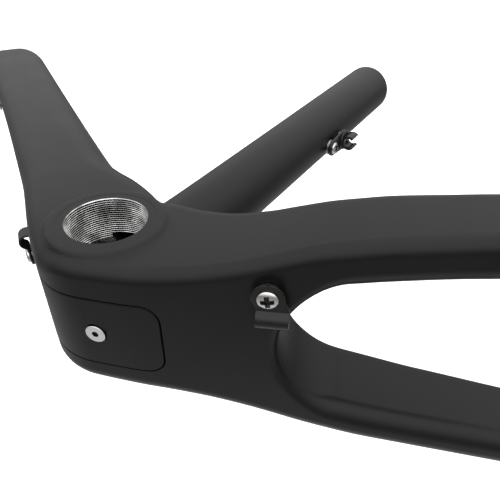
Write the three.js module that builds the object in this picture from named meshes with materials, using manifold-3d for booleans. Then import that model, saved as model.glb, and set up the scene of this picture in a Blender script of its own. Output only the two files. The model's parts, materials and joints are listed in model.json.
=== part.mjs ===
// Bottom-bracket junction of a carbon mountain-bike frame, with an empty threaded shell.
// Frame: millimetres. Origin at the middle of the shell bore. +Z runs along the crank axis
// towards the non-drive side, +X towards the rear wheel, +Y towards the saddle.
import * as THREE from 'three';
import { mergeVertices } from 'three/addons/utils/BufferGeometryUtils.js';
import Module from 'manifold-3d';

const wasm = await Module();
wasm.setup();

// ---- driving dimensions ---------------------------------------------------------------
const GAP = 0.3;                    // clearance left between neighbouring pieces

const SHELL_WIDTH = 68;             // face to face, English-thread road and mountain shell
const THREAD_BORE_R = 17.1;         // mean radius of the 1.37 in x 24 TPI thread
const THREAD_LENGTH = 17.6;         // threaded depth from each face
const RELIEF_R = 17.7;              // plain bore between the two threads
const SLEEVE_R = 20.5;              // outside of the aluminium sleeve
const MOUTH_CHAMFER = 0.7;
const WINDOW_ANGLE = 73;            // degrees, the window in the sleeve faces the seat tube
const WINDOW_WIDTH = 23.6;
const WINDOW_HALF_HEIGHT = 15.8;

const BOSS_R = 24.7;                // raised carbon ring round each mouth
const BARREL_R = 31;                // carbon round the shell, lowest point of the frame
const BARREL_HALF = 32.2;
const BARREL_EDGE_R = 9;
const HOUSING_R = 24.2;             // carbon tube that the sleeve is bonded into
const JUNCTION_WALL = 4.2;
const TUBE_WALL = 2.6;

const DOWN_ANGLE = 131;             // degrees from +X
const DOWN_SPLIT = 72;
const DOWN_END = 305;
const SEAT_ANGLE = 73;
const SEAT_OFFSET = -1;             // seat-tube axis, towards the front of the bore axis
const SEAT_R = 18.2;
const SEAT_SPLIT = 62;
const SEAT_END = 300;
const STAY_SPLIT = 112;
const STAY_END = 215;

const COVER_FRONT = -37;
const COVER_REAR = 32.5;
const COVER_HALF = 17.8;
const COVER_CORNER_R = 8;
const COVER_THICKNESS = 2.2;
const COVER_LEDGE = 4.5;
const COVER_SCREW_X = 4.9;
const COVER_SCREW_Y = -30.65;
const COVER_BOSS_R = 6.5;

const M5_SHANK_R = 2.4;
const M5_CLEAR_R = 2.8;
const INSERT_BORE_R = 2.65;
const INSERT_BARREL_R = 3.5;
const INSERT_HOLE_R = 3.8;
const INSERT_FLANGE_R = 5;
const INSERT_LENGTH = 9;
const GUIDE_FLANGE = 1.5;           // flange of an insert under a guide
const BOTTLE_FLANGE = 0.7;          // flange of an insert under a bottle-cage bolt
const DOME_HEAD_R = 4;
const DOME_HEAD = 2.3;
const SHANK_LENGTH = 10;
const CSK_HEAD_R = 4.65;
const CSK_HEAD = 2.2;
const HEX_R = 1.75;                 // corner radius of a 3 mm hexagon socket
const HEX_DEPTH = 1.4;
const PAN_SHANK_R = 1.9;            // M4 screw in the floor of the seat-tube clip
const PAN_BORE_R = 2.15;
const PAN_HEAD_R = 2.9;
const PAN_HEAD = 1.8;

const PLATE_LIFT = GUIDE_FLANGE + 2 * GAP;
const PLATE = 1.1;                  // sheet thickness of the bolt-on guides
const HOSE_R = 2.8;
const HOSE_HEIGHT = 2.2;            // hose axis above the carbon
const HOOK_LIP = 0.4;               // gap between the hook's lip and the carbon
const GUIDE_REACH = 9.6;            // screw axis to hose axis
const STAY_CLIP = { tab: 6.2, length: 12.2, shift: 1.75 }; // wide half-tube, set rearwards
const DOWN_CLIP = { tab: 5.2, length: 6, shift: 0 };       // narrow hook

const BOTTLE_STATIONS = { lower: 228, upper: 292 }; // standard 64 mm pitch
const DOWN_GUIDES = { lower: 39, upper: 258 };
const DOWN_GUIDE_Z = 1;
const STAY_GUIDE_X = 72.9;
const STAY_GUIDE_Z = 28.8;
const SEAT_GUIDE_STATIONS = { lower: 184, upper: 200.5 };
const SEAT_GUIDE_Z = -2.5;
const SEAT_FOOT_R = 5.4;
const SEAT_FOOT = 1.8;              // thickness of the moulded foot
const SEAT_PAD_R = 7;               // raised pad under the clip
const SEAT_PAD_TOP = 5.4;
const SEAT_CLIP_HEIGHT = 9;         // middle of the clip above the carbon
const SEAT_CLIP_R = 3.3;            // inside radius of the clip
const SEAT_CLIP_WALL = 1.7;
const SEAT_CLIP_WIDTH = 10;
const SEAT_CLIP_OPENING = 45;       // degrees each side of the mouth's middle
const SEAT_FLOOR = 4;               // seat of the screw inside the clip

const ROUND_SIDES = 36;             // facets round the shell
const HEAD_SIDES = 32;              // facets round the cover screw and its countersink
const SMALL_SIDES = 16;             // facets round other screws, inserts and their holes

// ---- materials ------------------------------------------------------------------------
const material = (color, roughness, metalness) => (
  () => new THREE.MeshStandardMaterial({ color, roughness, metalness })
);
const carbon = material(0x2b2b2c, 0.55, 0);
const alloy = material(0xb9bbbc, 0.3, 1);
const steel = material(0xc9c8c4, 0.28, 1);
const insertAlloy = material(0x9c9ea0, 0.4, 1);
const blackSheet = material(0x141415, 0.4, 0.2);

// ---- solids ---------------------------------------------------------------------------
function toSolid(geometry, matrix = new THREE.Matrix4()) {
  const plain = geometry.clone().applyMatrix4(matrix);
  plain.deleteAttribute('normal');
  plain.deleteAttribute('uv');
  const merged = mergeVertices(plain, 1e-4);
  const index = merged.index.array;
  const triangles = [];
  for (let i = 0; i < index.length; i += 3) {
    const [a, b, c] = [index[i], index[i + 1], index[i + 2]];
    if (a !== b && b !== c && c !== a) triangles.push(a, b, c);
  }
  return new wasm.Manifold(new wasm.Mesh({
    numProp: 3,
    vertProperties: new Float32Array(merged.attributes.position.array),
    triVerts: new Uint32Array(triangles),
  }));
}

const union = (solids) => solids.reduce((sum, solid) => sum.add(solid));

function toMesh(name, solid, look) {
  const { vertProperties, triVerts } = solid.getMesh();
  const geometry = new THREE.BufferGeometry();
  geometry.setAttribute('position', new THREE.BufferAttribute(new Float32Array(vertProperties), 3));
  geometry.setIndex(new THREE.BufferAttribute(new Uint32Array(triVerts), 1));
  geometry.computeVertexNormals();
  const mesh = new THREE.Mesh(geometry, look);
  mesh.name = name;
  return mesh;
}

// A profile of [radius, height] pairs, turned about the Z axis.
function turned(profile, sides) {
  const geometry = new THREE.LatheGeometry(profile.map(([r, z]) => new THREE.Vector2(r, z)), sides);
  return toSolid(geometry.rotateX(Math.PI / 2));
}

// ---- lofted tubes ---------------------------------------------------------------------
// A tube runs along a straight axis at an angle in the X-Y plane. Each station gives its section:
// hi and lo are the edges to the left and right of the axis, mid and half place it across Z,
// and rHi and rLo round the corners of the two edges.
const CORNER_STEPS = 3;
const RING = 4 * (CORNER_STEPS + 1);

function sectionPoint(station, k, inset) {
  const quadrant = Math.floor(k / (CORNER_STEPS + 1));
  const step = k % (CORNER_STEPS + 1);
  const angle = (quadrant + step / CORNER_STEPS) * Math.PI / 2;
  const onHi = quadrant === 0 || quadrant === 3;
  const side = quadrant < 2 ? -1 : 1;
  const half = station.half - inset;
  const hi = station.hi - inset;
  const lo = station.lo + inset;
  const wanted = (onHi ? station.rHi : station.rLo) - inset;
  const r = Math.max(0.8, Math.min(wanted, half, (hi - lo) / 2));
  return {
    n: (onHi ? hi - r : lo + r) + r * Math.cos(angle),
    z: station.mid + side * (half - r) - r * Math.sin(angle),
  };
}

function stationAt(stations, t) {
  const keys = ['half', 'hi', 'lo', 'mid', 'rHi', 'rLo'];
  const place = {};
  keys.forEach((key) => {
    const curve = new THREE.SplineCurve(stations.map((s) => new THREE.Vector2(s.at, s[key] ?? 0)));
    const point = curve.getPoint(t);
    place.at = point.x;
    place[key] = point.y;
  });
  return place;
}

function loft({ angle, offset = 0, stations, steps, inset = 0, overrun = 0 }) {
  const along = new THREE.Vector3(Math.cos(angle), Math.sin(angle), 0);
  const across = new THREE.Vector3(-Math.sin(angle), Math.cos(angle), 0);
  const geometry = new THREE.CylinderGeometry(1, 1, 1, RING, steps);
  const position = geometry.attributes.position;
  const point = new THREE.Vector3();
  const rows = [];
  for (let row = 0; row <= steps; row += 1) rows.push(stationAt(stations, row / steps));
  rows[0].at -= overrun;
  rows[steps].at += overrun;
  for (let i = 0; i < position.count; i += 1) {
    point.fromBufferAttribute(position, i);
    const station = rows[Math.round((0.5 - point.y) * steps)];
    const turn = Math.atan2(point.x, point.z) / (2 * Math.PI);
    const k = Math.round((turn + 1) * RING) % RING;
    const onAxis = Math.hypot(point.x, point.z) < 0.5;
    const middle = { n: (station.hi + station.lo) / 2, z: station.mid };
    const { n, z } = onAxis ? middle : sectionPoint(station, k, inset);
    point.copy(along).multiplyScalar(station.at).addScaledVector(across, n + offset);
    position.setXYZ(i, point.x, point.y, z);
  }
  return toSolid(geometry);
}

const radians = THREE.MathUtils.degToRad;

// Down tube: hi is its underside, lo is the side that faces the bottle cages.
const downRoot = {
  angle: radians(DOWN_ANGLE),
  steps: 5,
  stations: [
    { at: -4, hi: 30, lo: -24, half: 31.6, rHi: 9, rLo: 10 },
    { at: 20, hi: 30.3, lo: -28, half: 31.8, rHi: 9, rLo: 11 },
    { at: 38, hi: 28.9, lo: -26.6, half: 31.6, rHi: 10, rLo: 14 },
    { at: 55, hi: 27.6, lo: -23.2, half: 31.2, rHi: 11, rLo: 17 },
    { at: DOWN_SPLIT, hi: 26.6, lo: -21.2, half: 30.7, rHi: 12, rLo: 19 },
  ],
};
const downTube = {
  angle: radians(DOWN_ANGLE),
  steps: 5,
  stations: [
    { at: DOWN_SPLIT + GAP, hi: 26.6, lo: -21.2, half: 30.7, rHi: 12, rLo: 19 },
    { at: 110, hi: 25.6, lo: -20.9, half: 29.8, rHi: 12, rLo: 20 },
    { at: 160, hi: 24.6, lo: -20.7, half: 29, rHi: 12, rLo: 20 },
    { at: 230, hi: 23.7, lo: -20.5, half: 28.6, rHi: 12, rLo: 20 },
    { at: DOWN_END, hi: 23.2, lo: -20.4, half: 28.4, rHi: 12, rLo: 20 },
  ],
};

// Seat tube: round, with its axis through the shell.
const roundStation = (at, r) => ({ at, hi: r, lo: -r, half: r, rHi: r, rLo: r });
const seatRoot = {
  angle: radians(SEAT_ANGLE),
  offset: SEAT_OFFSET,
  steps: 4,
  stations: [roundStation(0, 20), roundStation(30, 20), roundStation(SEAT_SPLIT, SEAT_R)],
};
const seatTube = {
  angle: radians(SEAT_ANGLE),
  offset: SEAT_OFFSET,
  steps: 2,
  stations: [roundStation(SEAT_SPLIT + GAP, SEAT_R), roundStation(SEAT_END, SEAT_R)],
};

// Yoke: the full-width block behind the shell, before the two chain stays part.
const yoke = {
  angle: 0,
  steps: 6,
  stations: [
    { at: -6, hi: 27, lo: -30.6, half: 31.8, rHi: 10, rLo: 9 },
    { at: 20, hi: 26.6, lo: -30.2, half: 32, rHi: 10, rLo: 9 },
    { at: 35, hi: 22.8, lo: -28.4, half: 33.6, rHi: 10, rLo: 9 },
    { at: 50, hi: 20.2, lo: -26.4, half: 36.2, rHi: 9, rLo: 9 },
    { at: 65, hi: 19.8, lo: -24.2, half: 40, rHi: 9, rLo: 9 },
    { at: 75, hi: 20, lo: -22.6, half: 43.3, rHi: 8, rLo: 8 },
  ],
};

// Chain stay on the non-drive side: its inner wall swings out fast behind the crotch.
const stayStation = (at, inner, outer, lo, hi) => (
  { at, hi, lo, mid: (inner + outer) / 2, half: (outer - inner) / 2, rHi: 8, rLo: 8 }
);
const stayRoot = {
  angle: 0,
  steps: 9,
  stations: [
    stayStation(62, -8, 39, -24.4, 19.6),
    stayStation(75, 0, 43.3, -22.6, 20),
    stayStation(80, 14, 45.2, -21.9, 20.1),
    stayStation(88, 26, 47.6, -20.7, 20.2),
    stayStation(100, 31, 50.4, -19.3, 20.8),
    stayStation(STAY_SPLIT, 34.2, 52.8, -17.9, 21.4),
  ],
};
const stayTube = {
  angle: 0,
  steps: 6,
  stations: [
    stayStation(STAY_SPLIT + GAP, 34.2, 52.8, -17.9, 21.4),
    stayStation(130, 36.6, 55.3, -15.6, 22.1),
    stayStation(145, 38.4, 57.3, -13.7, 22.8),
    stayStation(180, 42.2, 61.4, -9.6, 24),
    stayStation(STAY_END, 45.4, 64.6, -6, 25),
  ],
};
const otherSide = (tube) => ({
  ...tube,
  stations: tube.stations.map((station) => ({ ...station, mid: -station.mid })),
});

// Barrel of carbon round the shell, turned about the crank axis.
function barrel(inset) {
  const r = BARREL_R - inset;
  const half = BARREL_HALF - inset;
  const edge = Math.max(0.8, BARREL_EDGE_R - inset);
  const corner = [];
  for (let k = 0; k <= CORNER_STEPS; k += 1) {
    const a = (k / CORNER_STEPS) * Math.PI / 2;
    corner.push([r - edge + edge * Math.sin(a), edge - edge * Math.cos(a)]);
  }
  const lower = corner.map(([x, rise]) => [x, rise - half]);
  const upper = corner.map(([x, rise]) => [x, half - rise]).reverse();
  return turned([[0, -half], ...lower, ...upper, [0, half]], ROUND_SIDES);
}

// A disc or post about a given axis, in its own frame along +Z from z0 to z1.
function post(r, z0, z1, sides, rTop = r) {
  const geometry = new THREE.CylinderGeometry(rTop, r, z1 - z0, sides);
  geometry.rotateX(Math.PI / 2);
  geometry.translate(0, 0, (z0 + z1) / 2);
  return geometry;
}

// Everything of the carbon outside, shrunk by inset. Open ends are overrun so that a cut is clean.
function junctionBody(inset) {
  const overrun = inset > 0 ? 2 : 0;
  const parts = [downRoot, seatRoot, yoke, stayRoot, otherSide(stayRoot)];
  return union([barrel(inset), ...parts.map((tube) => loft({ ...tube, inset, overrun }))]);
}

function hollowTube(tube, wall) {
  return loft(tube).subtract(loft({ ...tube, inset: wall, overrun: 2 }));
}

// Upright prism under the shell, with the rounded outline of the access port.
function portPrism(inset) {
  const x0 = COVER_FRONT + inset;
  const x1 = COVER_REAR - inset;
  const z = COVER_HALF - inset;
  const r = COVER_CORNER_R - inset;
  const outline = new THREE.Shape();
  outline.moveTo(x0 + r, -z);
  outline.lineTo(x1 - r, -z);
  outline.absarc(x1 - r, -z + r, r, -Math.PI / 2, 0);
  outline.absarc(x1 - r, z - r, r, 0, Math.PI / 2);
  outline.absarc(x0 + r, z - r, r, Math.PI / 2, Math.PI);
  outline.absarc(x0 + r, -z + r, r, Math.PI, 1.5 * Math.PI);
  const geometry = new THREE.ExtrudeGeometry(outline, { depth: 60, bevelEnabled: false, curveSegments: 5 });
  geometry.rotateX(Math.PI / 2);
  geometry.translate(0, 8, 0);
  return toSolid(geometry);
}

function windowCutter(width, halfHeight) {
  const geometry = new THREE.BoxGeometry(30, width, 2 * halfHeight);
  geometry.translate(15, 0, 0);
  geometry.rotateZ(radians(WINDOW_ANGLE));
  return toSolid(geometry);
}

// ---- places for fasteners -------------------------------------------------------------
// A place has its origin on the carbon surface, +Z out of it and +X along the tube.
function place(point, outward, along) {
  const z = outward.clone().normalize();
  const x = along.clone().normalize();
  const y = new THREE.Vector3().crossVectors(z, x);
  return new THREE.Matrix4().makeBasis(x, y, z).setPosition(point);
}

// Height of one edge of a tube above its axis, at a distance along it.
function edgeHeight(tube, at, edge) {
  let [low, high] = [0, 1];
  while (high - low > 1e-5) {
    const t = (low + high) / 2;
    if (stationAt(tube.stations, t).at < at) low = t;
    else high = t;
  }
  return stationAt(tube.stations, low)[edge] + (tube.offset ?? 0);
}

function placeOnTube(tube, at, z, edge) {
  const along = new THREE.Vector3(Math.cos(tube.angle), Math.sin(tube.angle), 0);
  const across = new THREE.Vector3(-Math.sin(tube.angle), Math.cos(tube.angle), 0);
  const height = edgeHeight(tube, at, edge);
  const slope = (edgeHeight(tube, at + 5, edge) - edgeHeight(tube, at - 5, edge)) / 10;
  const point = along.clone().multiplyScalar(at).addScaledVector(across, height);
  point.z = z;
  const outward = across.clone().addScaledVector(along, -slope);
  if (edge === 'lo') outward.negate();
  return place(point, outward, along.clone().addScaledVector(across, slope));
}

const coverPlace = place(
  new THREE.Vector3(COVER_SCREW_X, COVER_SCREW_Y, 0),
  new THREE.Vector3(0, -1, 0),
  new THREE.Vector3(1, 0, 0),
);
const stayGuidePlace = placeOnTube(yoke, STAY_GUIDE_X, STAY_GUIDE_Z, 'lo');
const downGuidePlaces = {
  lower: placeOnTube(downRoot, DOWN_GUIDES.lower, DOWN_GUIDE_Z, 'hi'),
  upper: placeOnTube(downTube, DOWN_GUIDES.upper, DOWN_GUIDE_Z, 'hi'),
};
const bottlePlaces = {
  lower: placeOnTube(downTube, BOTTLE_STATIONS.lower, 0, 'lo'),
  upper: placeOnTube(downTube, BOTTLE_STATIONS.upper, 0, 'lo'),
};
const seatGuidePlaces = {
  lower: placeOnTube(seatTube, SEAT_GUIDE_STATIONS.lower, SEAT_GUIDE_Z, 'lo'),
  upper: placeOnTube(seatTube, SEAT_GUIDE_STATIONS.upper, SEAT_GUIDE_Z, 'lo'),
};

// ---- carbon pieces --------------------------------------------------------------------
const insertHole = (matrix) => toSolid(post(INSERT_HOLE_R, -12, 6, SMALL_SIDES), matrix);

function junction() {
  const outside = junctionBody(0);
  const housing = toSolid(post(HOUSING_R, -BARREL_HALF, BARREL_HALF, ROUND_SIDES));
  const bosses = toSolid(post(BOSS_R, -SHELL_WIDTH / 2, SHELL_WIDTH / 2, ROUND_SIDES));
  const cavity = junctionBody(JUNCTION_WALL).subtract(housing);
  const screwBoss = toSolid(post(COVER_BOSS_R, -9, -COVER_THICKNESS - GAP, SMALL_SIDES), coverPlace);
  const pocket = portPrism(0).subtract(junctionBody(COVER_THICKNESS + GAP));
  const port = portPrism(COVER_LEDGE).subtract(housing).subtract(screwBoss);
  return outside
    .add(bosses)
    .subtract(cavity.subtract(screwBoss))
    .subtract(port)
    .subtract(pocket)
    .subtract(toSolid(post(SLEEVE_R + GAP, -40, 40, ROUND_SIDES)))
    .subtract(windowCutter(WINDOW_WIDTH + 2, WINDOW_HALF_HEIGHT + 1))
    .subtract(insertHole(coverPlace))
    .subtract(insertHole(stayGuidePlace))
    .subtract(insertHole(downGuidePlaces.lower));
}

function downTubeSolid() {
  return [downGuidePlaces.upper, bottlePlaces.lower, bottlePlaces.upper]
    .reduce((tube, matrix) => tube.subtract(insertHole(matrix)), hollowTube(downTube, TUBE_WALL));
}

function seatTubeSolid() {
  return Object.values(seatGuidePlaces)
    .reduce((tube, matrix) => tube.subtract(insertHole(matrix)), hollowTube(seatTube, TUBE_WALL));
}

// ---- threaded sleeve ------------------------------------------------------------------
function sleeve() {
  const face = SHELL_WIDTH / 2;
  const threadEnd = face - THREAD_LENGTH;
  const reliefEnd = threadEnd - 0.6;
  const chamferEnd = face - MOUTH_CHAMFER;
  const mouthR = THREAD_BORE_R + MOUTH_CHAMFER;
  const tube = turned([
    [SLEEVE_R, -face],
    [SLEEVE_R, face],
    [mouthR, face],
    [THREAD_BORE_R, chamferEnd],
    [THREAD_BORE_R, threadEnd],
    [RELIEF_R, reliefEnd],
    [RELIEF_R, -reliefEnd],
    [THREAD_BORE_R, -threadEnd],
    [THREAD_BORE_R, -chamferEnd],
    [mouthR, -face],
    [SLEEVE_R, -face],
  ], ROUND_SIDES);
  return tube.subtract(windowCutter(WINDOW_WIDTH, WINDOW_HALF_HEIGHT));
}

// ---- access cover ---------------------------------------------------------------------
function cover() {
  const countersink = post(M5_CLEAR_R + 0.1, -CSK_HEAD - 0.5, 0.35, HEAD_SIDES, CSK_HEAD_R + 0.55);
  return junctionBody(0)
    .intersect(portPrism(GAP))
    .subtract(junctionBody(COVER_THICKNESS))
    .subtract(toSolid(post(M5_CLEAR_R, -12, 6, SMALL_SIDES), coverPlace))
    .subtract(toSolid(countersink, coverPlace));
}

// ---- fasteners, each in its own frame with +Z out of the surface ----------------------
function socket(radius, top, depth) {
  return toSolid(post(radius, top - depth, top + 1, 6));
}

function insert(flange, boreR = INSERT_BORE_R) {
  const bottom = GAP;
  const top = bottom + flange;
  return turned([
    [boreR, -INSERT_LENGTH],
    [INSERT_BARREL_R, -INSERT_LENGTH],
    [INSERT_BARREL_R, bottom],
    [INSERT_FLANGE_R, bottom],
    [INSERT_FLANGE_R, top],
    [boreR, top],
    [boreR, -INSERT_LENGTH],
  ], SMALL_SIDES);
}

// Plain threaded bush without a flange, bonded into the boss under the access cover.
function bush() {
  const bottom = -9.2;
  const top = -COVER_THICKNESS - 2 * GAP;
  const barrelPost = toSolid(post(INSERT_BARREL_R, bottom, top, SMALL_SIDES));
  return barrelPost.subtract(toSolid(post(INSERT_BORE_R, bottom - 1, 0, SMALL_SIDES)));
}

function domeScrew(seat) {
  const rim = 0.5;
  const profile = [
    [0, seat - SHANK_LENGTH],
    [M5_SHANK_R, seat - SHANK_LENGTH],
    [M5_SHANK_R, seat],
    [DOME_HEAD_R, seat],
  ];
  for (let k = 0; k <= CORNER_STEPS; k += 1) {
    const a = (k / CORNER_STEPS) * Math.PI / 2;
    profile.push([DOME_HEAD_R * Math.cos(a), seat + rim + (DOME_HEAD - rim) * Math.sin(a)]);
  }
  return turned(profile, SMALL_SIDES).subtract(socket(HEX_R, seat + DOME_HEAD, HEX_DEPTH));
}

function countersunkScrew() {
  const top = -0.05;
  const bottom = -8.6;
  const rim = 0.3;
  const body = turned([
    [0, bottom],
    [M5_SHANK_R, bottom],
    [M5_SHANK_R, top - CSK_HEAD],
    [CSK_HEAD_R, top - rim],
    [CSK_HEAD_R, top],
    [0, top],
  ], HEAD_SIDES);
  return body.subtract(socket(HEX_R, top, HEX_DEPTH));
}

function panScrew(seat) {
  return turned([
    [0, seat - SHANK_LENGTH],
    [PAN_SHANK_R, seat - SHANK_LENGTH],
    [PAN_SHANK_R, seat],
    [PAN_HEAD_R, seat],
    [PAN_HEAD_R, seat + 0.6 * PAN_HEAD],
    [0.6 * PAN_HEAD_R, seat + PAN_HEAD],
    [0, seat + PAN_HEAD],
  ], SMALL_SIDES);
}

// ---- bolt-on hose guides --------------------------------------------------------------
// Turns a section drawn in X-Y into one across the tube, extruded along it.
const sideways = new THREE.Matrix4().makeBasis(
  new THREE.Vector3(0, 1, 0), new THREE.Vector3(0, 0, 1), new THREE.Vector3(1, 0, 0));

// Side view of the bent strip: a flat tab under the screw, then a hook over the hose.
function guideStrip() {
  const outer = HOSE_R + PLATE;
  const meet = Math.asin((PLATE_LIFT + PLATE - HOSE_HEIGHT) / outer);
  const inside = Math.asin((PLATE_LIFT - HOSE_HEIGHT) / HOSE_R);
  const strip = new THREE.Shape();
  strip.moveTo(STAY_CLIP.tab, PLATE_LIFT);
  strip.lineTo(STAY_CLIP.tab, PLATE_LIFT + PLATE);
  strip.absarc(-GUIDE_REACH, HOSE_HEIGHT, outer, meet, Math.PI, false);
  strip.lineTo(-GUIDE_REACH - outer, HOOK_LIP);
  strip.lineTo(-GUIDE_REACH - HOSE_R, HOOK_LIP);
  strip.absarc(-GUIDE_REACH, HOSE_HEIGHT, HOSE_R, Math.PI, inside, true);
  const geometry = new THREE.ExtrudeGeometry(strip, { depth: 24, bevelEnabled: false, curveSegments: 8 });
  return toSolid(geometry.translate(0, 0, -12), sideways);
}

// Plan view of the strip: round about the screw, then as wide as the hook.
function guideOutline({ tab, length, shift }) {
  const near = -GUIDE_REACH + HOSE_R + PLATE;
  const far = -GUIDE_REACH - HOSE_R - PLATE - 1;
  const rear = length / 2 + shift;
  const front = rear - length;
  const outline = new THREE.Shape();
  outline.absarc(0, 0, tab, 0, Math.PI, false);
  outline.lineTo(front, near + 0.6);
  outline.lineTo(front, far);
  outline.lineTo(rear, far);
  outline.lineTo(rear, near + 0.6);
  const geometry = new THREE.ExtrudeGeometry(outline, { depth: 12, bevelEnabled: false, curveSegments: 8 });
  geometry.translate(0, 0, -2);
  return toSolid(geometry);
}

function guide(clip) {
  const hole = toSolid(post(M5_CLEAR_R, -5, 10, SMALL_SIDES));
  return guideStrip().intersect(guideOutline(clip)).subtract(hole);
}

// Moulded seat-tube guide: a foot with a screw, then a raised pad with a second screw in the
// floor of a C clip, which the hose snaps into.
function seatGuide() {
  const pitch = SEAT_GUIDE_STATIONS.upper - SEAT_GUIDE_STATIONS.lower;
  const plan = new THREE.Shape();
  plan.absarc(0, 0, SEAT_FOOT_R, Math.PI / 2, 1.5 * Math.PI, false);
  plan.absarc(pitch, 0, SEAT_PAD_R, -Math.PI / 2, Math.PI / 2, false);
  const foot = new THREE.ExtrudeGeometry(plan, { depth: SEAT_FOOT, bevelEnabled: false, curveSegments: 8 });
  foot.translate(0, 0, PLATE_LIFT);
  const pad = post(SEAT_PAD_R, PLATE_LIFT, SEAT_PAD_TOP, 2 * SMALL_SIDES).translate(pitch, 0, 0);

  const outer = SEAT_CLIP_R + SEAT_CLIP_WALL;
  const start = Math.PI / 2 + radians(SEAT_CLIP_OPENING);
  const end = 2.5 * Math.PI - radians(SEAT_CLIP_OPENING);
  const section = new THREE.Shape();
  section.absarc(0, SEAT_CLIP_HEIGHT, outer, start, end, false);
  section.absarc(0, SEAT_CLIP_HEIGHT, SEAT_CLIP_R, end, start, true);
  const clip = new THREE.ExtrudeGeometry(section, {
    depth: SEAT_CLIP_WIDTH, bevelEnabled: false, curveSegments: 14,
  });
  clip.applyMatrix4(sideways).translate(pitch - SEAT_CLIP_WIDTH / 2, 0, 0);

  const holes = [
    post(M5_CLEAR_R, -5, 10, SMALL_SIDES),
    post(PAN_BORE_R, -5, 10, SMALL_SIDES).translate(pitch, 0, 0),
    post(PAN_HEAD_R + GAP, SEAT_FLOOR, 10, SMALL_SIDES).translate(pitch, 0, 0),
  ];
  const body = union([foot, pad, clip].map((geometry) => toSolid(geometry)));
  return holes.reduce((solid, hole) => solid.subtract(toSolid(hole)), body);
}

// ---- assembly -------------------------------------------------------------------------
const group = new THREE.Group();
group.add(toMesh('bb_junction', junction(), carbon()));
group.add(toMesh('down_tube', downTubeSolid(), carbon()));
group.add(toMesh('seat_tube', seatTubeSolid(), carbon()));
group.add(toMesh('chainstay_left', hollowTube(stayTube, TUBE_WALL), carbon()));
group.add(toMesh('chainstay_right', hollowTube(otherSide(stayTube), TUBE_WALL), carbon()));
group.add(toMesh('bb_sleeve', sleeve(), alloy()));
group.add(toMesh('cable_cover', cover(), carbon()));

function fit(matrix, pieces) {
  const site = new THREE.Group();
  site.applyMatrix4(matrix);
  pieces.forEach(([name, solid, look]) => site.add(toMesh(name, solid, look)));
  group.add(site);
}

const guideSeat = PLATE_LIFT + PLATE + GAP;
fit(coverPlace, [['cover_screw', countersunkScrew(), steel()], ['cover_insert', bush(), insertAlloy()]]);
fit(stayGuidePlace, [
  ['stay_guide', guide(STAY_CLIP), blackSheet()],
  ['stay_guide_screw', domeScrew(guideSeat), steel()],
  ['stay_guide_insert', insert(GUIDE_FLANGE), insertAlloy()],
]);
Object.entries(downGuidePlaces).forEach(([level, matrix]) => fit(matrix, [
  [`down_guide_${level}`, guide(DOWN_CLIP), blackSheet()],
  [`down_guide_${level}_screw`, domeScrew(guideSeat), steel()],
  [`down_guide_${level}_insert`, insert(GUIDE_FLANGE), insertAlloy()],
]));
fit(seatGuidePlaces.lower, [
  ['seat_guide', seatGuide(), blackSheet()],
  ['seat_guide_screw_lower', domeScrew(PLATE_LIFT + SEAT_FOOT + GAP), steel()],
  ['seat_guide_insert_lower', insert(GUIDE_FLANGE), insertAlloy()],
]);
fit(seatGuidePlaces.upper, [
  ['seat_guide_screw_upper', panScrew(SEAT_FLOOR + GAP), steel()],
  ['seat_guide_insert_upper', insert(GUIDE_FLANGE, PAN_BORE_R), insertAlloy()],
]);
Object.entries(bottlePlaces).forEach(([level, matrix]) => fit(matrix, [
  [`bottle_bolt_${level}`, domeScrew(BOTTLE_FLANGE + 2 * GAP), steel()],
  [`bottle_insert_${level}`, insert(BOTTLE_FLANGE), insertAlloy()],
]));

export default group;
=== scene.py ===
"""Bottom-bracket junction of a carbon mountain-bike frame: the looks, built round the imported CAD.

The row frame is the CAD's: +Z along the crank axis to the non-drive side, +X to the rear wheel,
+Y towards the saddle. Shapes below are worked out in millimetres and scaled to metres once.
"""
import json
import math

import bmesh
import bpy
import numpy as np
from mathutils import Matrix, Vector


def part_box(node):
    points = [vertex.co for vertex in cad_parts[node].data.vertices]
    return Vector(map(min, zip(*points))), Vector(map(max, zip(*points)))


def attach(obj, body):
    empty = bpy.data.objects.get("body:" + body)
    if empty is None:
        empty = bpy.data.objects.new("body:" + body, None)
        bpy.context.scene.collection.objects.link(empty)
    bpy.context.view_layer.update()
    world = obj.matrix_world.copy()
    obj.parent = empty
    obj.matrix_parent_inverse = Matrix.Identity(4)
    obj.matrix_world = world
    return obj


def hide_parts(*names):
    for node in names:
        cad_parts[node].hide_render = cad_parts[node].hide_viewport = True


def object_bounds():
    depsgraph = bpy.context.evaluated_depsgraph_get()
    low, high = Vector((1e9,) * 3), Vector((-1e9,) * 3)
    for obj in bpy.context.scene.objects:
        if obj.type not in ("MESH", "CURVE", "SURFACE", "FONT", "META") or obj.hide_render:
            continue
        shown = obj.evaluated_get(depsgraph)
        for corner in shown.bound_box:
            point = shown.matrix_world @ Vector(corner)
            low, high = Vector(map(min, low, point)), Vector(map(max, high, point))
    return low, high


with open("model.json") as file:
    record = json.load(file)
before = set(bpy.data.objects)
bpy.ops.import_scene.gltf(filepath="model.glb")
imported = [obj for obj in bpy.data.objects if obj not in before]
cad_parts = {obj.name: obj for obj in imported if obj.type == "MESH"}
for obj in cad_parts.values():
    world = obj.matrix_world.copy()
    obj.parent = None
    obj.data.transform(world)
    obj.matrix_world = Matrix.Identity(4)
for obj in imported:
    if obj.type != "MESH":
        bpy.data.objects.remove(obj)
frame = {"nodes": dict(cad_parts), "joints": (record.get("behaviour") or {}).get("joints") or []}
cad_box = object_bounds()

import openvdb
from mathutils import Matrix, Vector

MM = 0.001
LEFT = Vector((0, 0, 1))


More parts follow.
